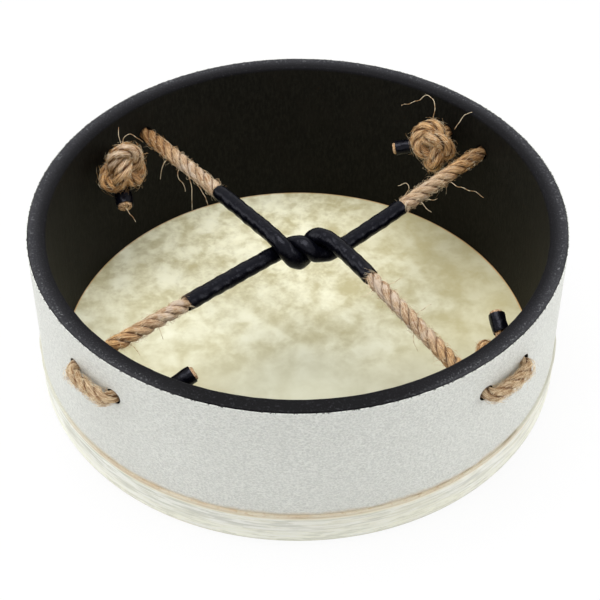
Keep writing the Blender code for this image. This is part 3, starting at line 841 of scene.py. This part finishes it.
def add_lay(mesh, along, sides, relief):
    """The lay's UV map (metres along, turns round with the yarns) and the relief of a strand's mesh."""
    layer = mesh.uv_layers.new(name="lay")
    corners = np.zeros(len(mesh.loops), dtype=np.int32)
    mesh.loops.foreach_get("vertex_index", corners)
    u = along[corners // sides]
    v = (corners % sides) / sides
    starts = np.zeros(len(mesh.polygons), dtype=np.int32)
    mesh.polygons.foreach_get("loop_start", starts)
    totals = np.zeros(len(mesh.polygons), dtype=np.int32)
    mesh.polygons.foreach_get("loop_total", totals)
    face_of = np.repeat(np.arange(len(starts)), totals)
    highest = np.maximum.reduceat(v, starts)
    v = np.where((highest[face_of] > 0.75) & (v < 0.01), 1.0, v) + u / YARN_TURN
    layer.data.foreach_set("uv", np.stack([u, v], axis=1).ravel().astype(np.float32))
    value = mesh.attributes.new("relief", "FLOAT", "POINT")
    value.data.foreach_set("value", relief.ravel().astype(np.float32))


def join(pieces):
    deselect()
    for piece in pieces:
        piece.select_set(True)
    bpy.context.view_layer.objects.active = pieces[0]
    bpy.ops.object.join()
    return pieces[0]


def add_piece(name, mesh):
    piece = bpy.data.objects.new(name, mesh)
    bpy.context.collection.objects.link(piece)
    return piece


def laid_rope(name, rope):
    """Three strands of yarns laid round the rope's path, as one piece."""
    strands = []
    runs_at = np.arange(0.0, rope.length, ROPE_STEP)
    middle, tangent, side, over = rope.at(runs_at)
    radius = rope.radius(runs_at)
    angles = 2 * pi * np.arange(STRAND_SIDES) / STRAND_SIDES
    for k in range(STRANDS):
        phase = 2 * pi * (runs_at / LAY_LENGTH + k / STRANDS)
        outward = np.cos(phase)[:, None] * side + np.sin(phase)[:, None] * over
        path = middle + outward * (radius * STRAND_OFFSET)[:, None]
        direction = np.gradient(path, axis=0)
        direction /= np.linalg.norm(direction, axis=1)[:, None]
        out = outward - np.sum(outward * direction, axis=1)[:, None] * direction
        out /= np.linalg.norm(out, axis=1)[:, None]
        beside = np.cross(direction, out)
        turned = angles[None, :] + 2 * pi * runs_at[:, None] / YARN_TURN
        drift = np.sin(runs_at * 310.0 + 2.1 * k)[:, None]
        yarns = 0.6 * np.cos(YARNS * turned + drift) + 0.4 * np.cos((YARNS - 1) * turned + 1.9 + k - drift)
        rough = np.array([[solid_noise.noise(Vector((u * 420.0, 1.6 * cos(a) + 7.0 * k, 1.6 * sin(a))))
                           for a in angles] for u in runs_at])
        size = (radius * STRAND_SHARE)[:, None] * (1 + YARN_RELIEF * yarns + STRAND_ROUGHNESS * rough)
        rings = (path[:, None, :] + (size * np.cos(angles))[:, :, None] * out[:, None, :]
                 + (size * np.sin(angles))[:, :, None] * beside[:, None, :])
        depth = np.linalg.norm(rings - middle[:, None, :], axis=2) / radius[:, None]
        rings = rope.flattened(rings, middle, runs_at)
        # The relief is low on a strand's deep side and high on its crown; the rope material darkens the deep
        # side by it as painted crevice shade.
        relief = np.clip((depth - 0.60) / 0.40, 0, 1) * 0.85 + 0.075 * (1 + yarns)
        mesh = grid_mesh(name, rings)
        add_lay(mesh, runs_at, STRAND_SIDES, relief)
        strands.append(add_piece(name, mesh))
    rope_piece = join(strands)
    shade(rope_piece, 60)
    return rope_piece


def is_free(points):
    """For an array of fibres (fibre, point, xyz): whether each stays clear of the wall and its cover."""
    reach = np.linalg.norm(points[:, :, :2], axis=2)
    inside = reach.max(axis=1) < SHELL_INNER - SEAT
    outside = reach.min(axis=1) > COVER_OUTER + 0.5 * SEAT
    return inside | outside


def hairs(name, points, thickness):
    """Three-sided tapering hairs through an array of points (hair, point, xyz), as one piece."""
    count, steps, _ = points.shape
    tangent = np.gradient(points, axis=1)
    tangent /= np.linalg.norm(tangent, axis=2)[:, :, None] + 1e-12
    side = np.cross(tangent, np.array([0.31, 0.59, 0.74]))
    side /= np.linalg.norm(side, axis=2)[:, :, None] + 1e-12
    over = np.cross(tangent, side)
    taper = thickness * np.linspace(1.0, 0.35, steps)
    rings = []
    for corner in range(3):
        a = 2 * pi * corner / 3
        rings.append(points + taper[None, :, None] * (cos(a) * side + sin(a) * over))
    corners = np.stack(rings, axis=2).reshape(-1, 3)
    base = (np.arange(count)[:, None] * steps + np.arange(steps - 1)[None, :]).ravel() * 3
    faces = []
    for corner in range(3):
        after = (corner + 1) % 3
        faces.append(np.stack([base + corner, base + after, base + 3 + after, base + 3 + corner], axis=1))
    foot = np.arange(count) * steps * 3
    tip = foot + (steps - 1) * 3
    ends = [np.stack([foot + 2, foot + 1, foot], axis=1), np.stack([tip, tip + 1, tip + 2], axis=1)]
    mesh = bpy.data.meshes.new(name)
    mesh.from_pydata(corners.tolist(), [], np.concatenate(faces).tolist() + np.concatenate(ends).tolist())
    mesh.update()
    return add_piece(name, mesh)


def fibres(name, rope, seed):
    """Close fibres that lie along the yarns and loose ones that stand off, outside the sleeves."""
    chance = np.random.default_rng(seed)
    steps = np.linspace(0.0, 1.0, FIBRE_POINTS)[None, :]
    tail = CAP_LENGTH + 0.002
    whole = ((tail, rope.length - tail),) * 2
    knots = ((tail, rope.knot_first), (rope.knot_last, rope.length - tail))
    loops = ((rope.knot_first, rope.leg_first), (rope.leg_last, rope.knot_last))
    kinds = ((CLOSE_FIBRES, (0.0035, 0.0085), (0.00015, 0.00050), 0.35, whole),
             (LOOSE_FIBRES, (0.0012, 0.0040), (0.0005, 0.0017), 0.6, whole),
             (LOOSE_FIBRES // 6, (0.0030, 0.0080), (0.0016, 0.0038), 1.0, whole),
             (KNOT_FIBRES, (0.0020, 0.0060), (0.0012, 0.0034), 0.9, knots),
             (LOOP_FIBRES, (0.0025, 0.0070), (0.0003, 0.0015), 0.9, loops))
    found = []
    for count, lengths, lifts, spread, stretches in kinds:
        start = np.zeros((count, 1))
        for half, (low, high) in enumerate(stretches):
            start[half::2] = chance.uniform(low, high, start[half::2].shape)
        length = chance.uniform(*lengths, (count, 1)) * chance.choice([-1.0, 1.0], (count, 1))
        lift = chance.uniform(*lifts, (count, 1))
        around_at = chance.uniform(0.0, 2 * pi, (count, 1))
        turn = chance.normal(0.0, spread, (count, 1)) * abs(length) / 0.006
        if lifts[0] > 0.0005:
            height = lift * steps ** 1.4
            height = height + 0.0003 * np.sin(steps * 7.0 + chance.uniform(0.0, 6.0, (count, 1))) * steps
        else:
            height = lift * np.sin(pi * steps)
        runs_at = start + length * steps
        middle, tangent, side, over = (v.reshape(count, FIBRE_POINTS, 3) for v in rope.at(runs_at.ravel()))
        radius = rope.radius(runs_at.ravel()).reshape(count, FIBRE_POINTS)
        angle = around_at + turn * steps
        out = np.cos(angle)[:, :, None] * side + np.sin(angle)[:, :, None] * over
        points = middle + (radius * 0.94 + height)[:, :, None] * out
        points[:, :, 2] -= 0.0006 * (steps ** 2) * (lift / 0.002)
        bare = (runs_at.max(axis=1) < rope.sleeve_from) | (runs_at.min(axis=1) > rope.sleeve_to)
        found.append(points[bare & is_free(points)])
    return hairs(name, np.concatenate(found), FIBRE_RADIUS)


def frayed_end(rope, run, way, seed, count=30):
    """Fibres that splay out of a sleeve's end, over and beside its rim."""
    chance = np.random.default_rng(seed)
    steps = np.linspace(0.0, 1.0, FIBRE_POINTS)[None, :]
    length = chance.uniform(0.0012, 0.0034, (count, 1)) * way
    start = run - way * chance.uniform(0.0002, 0.0035, (count, 1))
    runs_at = start + length * steps
    angle = chance.uniform(0.0, 2 * pi, (count, 1)) + 0.5 * steps
    middle, tangent, side, over = (v.reshape(count, FIBRE_POINTS, 3) for v in rope.at(runs_at.ravel()))
    out = np.cos(angle)[:, :, None] * side + np.sin(angle)[:, :, None] * over
    height = ROPE_DIAMETER / 2 * 0.93 + chance.uniform(0.0002, 0.0022, (count, 1)) * steps ** 1.2
    return middle + height[:, :, None] * out


def long_fibre(name, rope, corner, distance, course):
    """A long loose fibre along a listed course, slightly wavy and tapering."""
    if distance == 0:
        base = np.mean(knot_points(corner)[-28:-3], axis=0)
    elif distance < 0:
        base = rope.path[0 if corner == rope.first else -1]
    elif corner == rope.first:
        base = rope.at(np.array([rope.leg_first + distance / 1000]))[0][0]
    else:
        base = rope.at(np.array([rope.leg_last - distance / 1000]))[0][0]
    right = np.array([1.0, 0.0, 0.0])
    up = np.array([0.0, sin(CAMERA_PITCH), cos(CAMERA_PITCH)])
    toward = np.cross(right, up)
    points = [base + (x * right + y * up + (0.50 * max(x, 0) + 2.0 * sin(1.3 * i)) * toward) / 1000
              for i, (x, y) in enumerate(course)]
    path = smooth_path(points)
    waves = np.minimum(runs(path) / 0.006, 1.0) * 0.00035
    path += (waves * np.sin(runs(path) * 900.0))[:, None] * up
    tangent = np.gradient(path, axis=0)
    tangent /= np.linalg.norm(tangent, axis=1)[:, None]
    side = np.cross(tangent, toward + 0.3 * right)
    side /= np.linalg.norm(side, axis=1)[:, None]
    over = np.cross(tangent, side)
    taper = CURL_RADIUS * np.linspace(1.0, 0.55, len(path))[:, None]
    rings = np.stack([path + taper * (cos(a) * side + sin(a) * over)
                      for a in (0.0, pi / 2, pi, 3 * pi / 2)], axis=1)
    return add_piece(name, grid_mesh(name, rings))


def cut_end(name, rope, run, way):
    """The ragged end of a rope in its sleeve; way is 1 where the rope ends at a higher run."""
    rings = []
    sides = 26
    sizes = ((-0.0035, 0.96), (-0.0008, 0.97), (0.0, 0.95), (0.00045, 0.86), (0.0006, 0.60), (0.0006, 0.30),
             (0.0005, 0.06))
    middle, tangent, side, over = (v[0] for v in rope.at(np.array([run])))
    radius = rope.radius(run)
    for step, share in sizes:
        ring = []
        for i in range(sides):
            a = 2 * pi * i / sides
            at = Vector((cos(a) * share * 3.2, sin(a) * share * 3.2, step * 900))
            size = radius * share * (1 + 0.05 * solid_noise.noise(at))
            out = step + (0.00035 * solid_noise.noise(at * 1.7) if step > -0.001 else 0.0)
            ring.append(middle + way * tangent * out + size * (cos(a) * side + sin(a) * over))
        rings.append(ring)
    piece = add_piece(name, grid_mesh(name, np.array(rings)))
    start_edit(piece)
    bpy.ops.mesh.select_all(action="SELECT")
    bpy.ops.mesh.normals_make_consistent(inside=False)
    stop_edit()
    shade(piece, 60)
    return piece


def sleeve_tube(name, rope, start, end, thickness, sides=28, step=0.0008, relief=0.0):
    """A sleeve shrunk over the rope: the lay shows through it as soft lumps."""
    runs_at = np.arange(start, end + step / 2, step)
    middle, tangent, side, over = rope.at(runs_at)
    angles = 2 * pi * np.arange(sides) / sides
    lay = 2 * pi * runs_at / LAY_LENGTH
    lumps = relief * np.cos(STRANDS * (angles[None, :] - lay[:, None]))
    wobble = np.array([[1.8 * solid_noise.noise(Vector((u * 135.0, cos(a) * 1.1, sin(a) * 1.1)))
                        + 0.5 * solid_noise.noise(Vector((u * 420.0, cos(a) * 2.2 + 9.0, sin(a) * 2.2)))
                        for a in angles] for u in runs_at])
    bore = rope.radius(runs_at)[:, None] + SEAT
    size = (bore + thickness) * (1 + lumps + 0.040 * wobble)
    ends = np.minimum(runs_at - start, end - runs_at)
    size -= (0.00015 * np.clip(1 - ends / 0.0012, 0, 1) ** 2)[:, None]

    def rings(sizes):
        return (middle[:, None, :] + (sizes * np.cos(angles))[:, :, None] * side[:, None, :]
                + (sizes * np.sin(angles))[:, :, None] * over[:, None, :])
    outside = rings(size)
    inside = rings(np.repeat(bore, sides, axis=1))
    loop = np.concatenate([outside, inside[::-1], outside[:1]])
    mesh = grid_mesh(name, loop, closed_ends=False)
    tube = add_piece(name, mesh)
    start_edit(tube)
    bpy.ops.mesh.select_all(action="SELECT")
    bpy.ops.mesh.remove_doubles(threshold=0.000001)
    bpy.ops.mesh.normals_make_consistent(inside=False)
    stop_edit()
    shade(tube, 50)
    return tube


def camera():
    data = bpy.data.cameras.new("camera")
    data.lens = CAMERA_LENS
    data.sensor_width = SENSOR
    data.clip_start = 0.01
    view = bpy.data.objects.new("camera", data)
    bpy.context.collection.objects.link(view)
    level = Matrix.Rotation(pi / 2 - CAMERA_PITCH, 3, "X")
    turn = level @ Matrix.Rotation(-CAMERA_YAW, 3, "Y") @ Matrix.Rotation(-CAMERA_ROLL, 3, "Z")
    view.matrix_world = Matrix.Translation(CAMERA_PLACE) @ turn.to_4x4()
    bpy.context.scene.camera = view


def lamp(name, place, size, power):
    data = bpy.data.lights.new(name, "AREA")
    data.shape = "DISK"
    data.size = size
    data.energy = power
    light = bpy.data.objects.new(name, data)
    bpy.context.collection.objects.link(light)
    light.location = place
    light.rotation_euler = (Vector((0.0, 0.0, 0.04)) - Vector(place)).to_track_quat("-Z", "Y").to_euler()


def seen_rays(tree):
    """1 for rays that show a surface to the camera, by themselves, a reflection or a gap."""
    ray = tree.nodes.new("ShaderNodeLightPath")
    seen = Socket(tree, ray.outputs["Is Camera Ray"]) + Socket(tree, ray.outputs["Is Glossy Ray"])
    return (seen + Socket(tree, ray.outputs["Is Transmission Ray"])).math("MINIMUM", 1.0)


def studio():
    """A white sweep of paper that renders white and keeps a soft shadow, and plain soft lamps."""
    deselect()
    bpy.ops.mesh.primitive_plane_add(size=8.0, location=(0.0, 0.0, -0.0005))
    floor = bpy.context.object
    floor.name = "floor"
    material, tree, shader, place = new_material("white paper floor")
    set_up(tree, shader, Base_Color=rgba(0.80, 0.80, 0.80), Roughness=0.9)
    white = tree.nodes.new("ShaderNodeEmission")
    both = tree.nodes.new("ShaderNodeMixShader")
    tree.links.new((seen_rays(tree) * 0.92).output, both.inputs[0])
    tree.links.new(shader.outputs[0], both.inputs[1])
    tree.links.new(white.outputs[0], both.inputs[2])
    tree.links.new(both.outputs[0], tree.nodes["Material Output"].inputs["Surface"])
    floor.data.materials.append(material)
    world = bpy.data.worlds.new("studio")
    bpy.context.scene.world = world
    world.use_nodes = True
    tree = world.node_tree
    soft = tree.nodes["Background"]
    soft.inputs["Color"].default_value = rgba(1.0, 1.0, 1.0)
    soft.inputs["Strength"].default_value = 0.50
    white = tree.nodes.new("ShaderNodeBackground")
    white.inputs["Color"].default_value = rgba(1.0, 1.0, 1.0)
    both = tree.nodes.new("ShaderNodeMixShader")
    tree.links.new(seen_rays(tree).output, both.inputs[0])
    tree.links.new(soft.outputs[0], both.inputs[1])
    tree.links.new(white.outputs[0], both.inputs[2])
    tree.links.new(both.outputs[0], tree.nodes["World Output"].inputs["Surface"])
    lamp("overhead", (-0.15, 0.04, 1.2), 0.9, 12.5)
    lamp("left side", (-1.3, 0.10, 0.45), 0.9, 4.9)
    lamp("right side", (1.3, 0.10, 0.45), 0.9, 6.2)
    lamp("front fill", (0.2, -1.2, 0.7), 0.9, 1.6)
    bpy.context.scene.view_settings.view_transform = "Standard"


camera()
studio()

HOOP = stained_hoop()
COVER = textured_cover()
HEAD = fibre_head()
GLUE = dried_glue()
ROPE = natural_rope()
FIBRE = loose_fibre("loose rope fibre", 0.8)
LONG_FIBRE = loose_fibre("long rope fibre", 0.1)
CUT_ROPE = cut_rope()
SLEEVE = shrunk_sleeve()

cutter = drills()
shell = hoop("hoop", SHELL_INNER, SHELL_RADIUS, SHELL_FOOT, DRUM_DEPTH,
             [(SHELL_INNER, DRUM_DEPTH, RIM_INNER_ROUND), (SHELL_RADIUS, DRUM_DEPTH, RIM_OUTER_ROUND),
              (SHELL_RADIUS, SHELL_FOOT, BEARING_ROUND)])
drill(shell, cutter)
roughen(shell, 0.00012, 170.0, lambda co: co.z > DRUM_DEPTH - RIM_INNER_ROUND)
shade(shell)
finished(shell, HOOP, "shell")

cover = hoop("cover", COVER_OUTER - COVER_THICKNESS, COVER_OUTER, COVER_FOOT, COVER_TOP, [])
drill(cover, cutter)
roughen(cover, 0.00016, 260.0, lambda co: co.z > COVER_TOP - SEAT)
shade(cover)
finished(cover, COVER, "shell_cover")
bpy.data.objects.remove(cutter, do_unlink=True)

deselect()
bpy.ops.mesh.primitive_cylinder_add(vertices=TURNS, radius=SKIRT_OUTER, depth=SKIRT_HEIGHT,
                                    location=(0.0, 0.0, SKIRT_HEIGHT / 2), end_fill_type="NGON")
head = bpy.context.object
head.name = "head"
settle(head)
start_edit(head, "FACE")
pick(head, "faces", lambda co: co.z > SKIRT_HEIGHT - 1e-6)
bpy.ops.mesh.delete(type="FACE")
stop_edit()
start_edit(head, "EDGE")
pick(head, "edges", lambda co: co.z < 1e-6)
bpy.ops.mesh.bevel(offset=HEAD_CORNER, segments=6, affect="EDGES")
stop_edit()
start_edit(head, "EDGE")
pick(head, "edges", lambda co: abs(co.z - (SKIRT_HEIGHT + HEAD_CORNER) / 2) < 1e-4)
bpy.ops.mesh.subdivide(number_cuts=SKIRT_ROWS)
stop_edit()
roughen(head, 0.00022, 62.0, lambda co: HEAD_CORNER < co.z < SKIRT_HEIGHT, (1.0, 1.0, 9.0))
wall = head.modifiers.new("thickness", "SOLIDIFY")
wall.thickness = HEAD_THICKNESS
wall.offset = -1.0
apply_modifiers(head)
shade(head)
finished(head, HEAD, "drum_head")

bead_size = GLUE_TOP - GLUE_FOOT
glue = hoop("glue_bead", COVER_OUTER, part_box("glue_line")[1][0], GLUE_FOOT, GLUE_TOP,
            [(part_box("glue_line")[1][0], GLUE_TOP, bead_size * 0.35),
             (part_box("glue_line")[1][0], GLUE_FOOT, bead_size * 0.35)])
roughen(glue, 0.0004, 180.0, lambda co: co.xy.length > COVER_OUTER + 2 * SEAT)
shade(glue, 80)
finished(glue, GLUE, "glue_line")

for first, last, share, side in (("nw", "se", TWIST_SHARE, 1), ("sw", "ne", 1 - TWIST_SHARE, -1)):
    rope = Rope(first, last, share, side)
    pair = first + "_" + last
    node = "rope_" + pair
    finished(laid_rope("laid_rope_" + pair, rope), ROPE, node)
    finished(fibres("fibres_" + pair, rope, ord(first[0])), FIBRE)
    places = [(rope.sleeve_from, 1), (rope.sleeve_to, -1)]
    for corner, way in ((first, 1), (last, -1)):
        outside = outside_points(corner)
        places += [(rope.run_near(outside[6]), -way), (rope.run_near(outside[8]), way)]
    fray = np.concatenate([frayed_end(rope, run, way, 5 + i) for i, (run, way) in enumerate(places)])
    finished(hairs("frayed_fibres_" + pair, fray, FIBRE_RADIUS), FIBRE)
    curls = [long_fibre("long_fibres_" + pair, rope, *fibre) for fibre in LONG_FIBRES if fibre[0] in pair]
    finished(join(curls), LONG_FIBRE)
    sleeve = sleeve_tube("shrunk_sleeve_" + pair, rope, rope.sleeve_from, rope.sleeve_to, SLEEVE_WALL,
                         relief=0.022)
    finished(sleeve, SLEEVE, "sleeve_" + pair)
    ends = {first: (CAP_SETBACK, CAP_SETBACK + CAP_LENGTH, 0.0, -1),
            last: (rope.length - CAP_SETBACK - CAP_LENGTH, rope.length - CAP_SETBACK, rope.length, 1)}
    for corner, (start, end, tip, way) in ends.items():
        cap = sleeve_tube("tail_sleeve_" + corner, rope, start, end, CAP_WALL, relief=0.015)
        finished(cap, SLEEVE, "tail_cap_" + corner)
        finished(cut_end("cut_end_" + corner, rope, tip, way), CUT_ROPE)
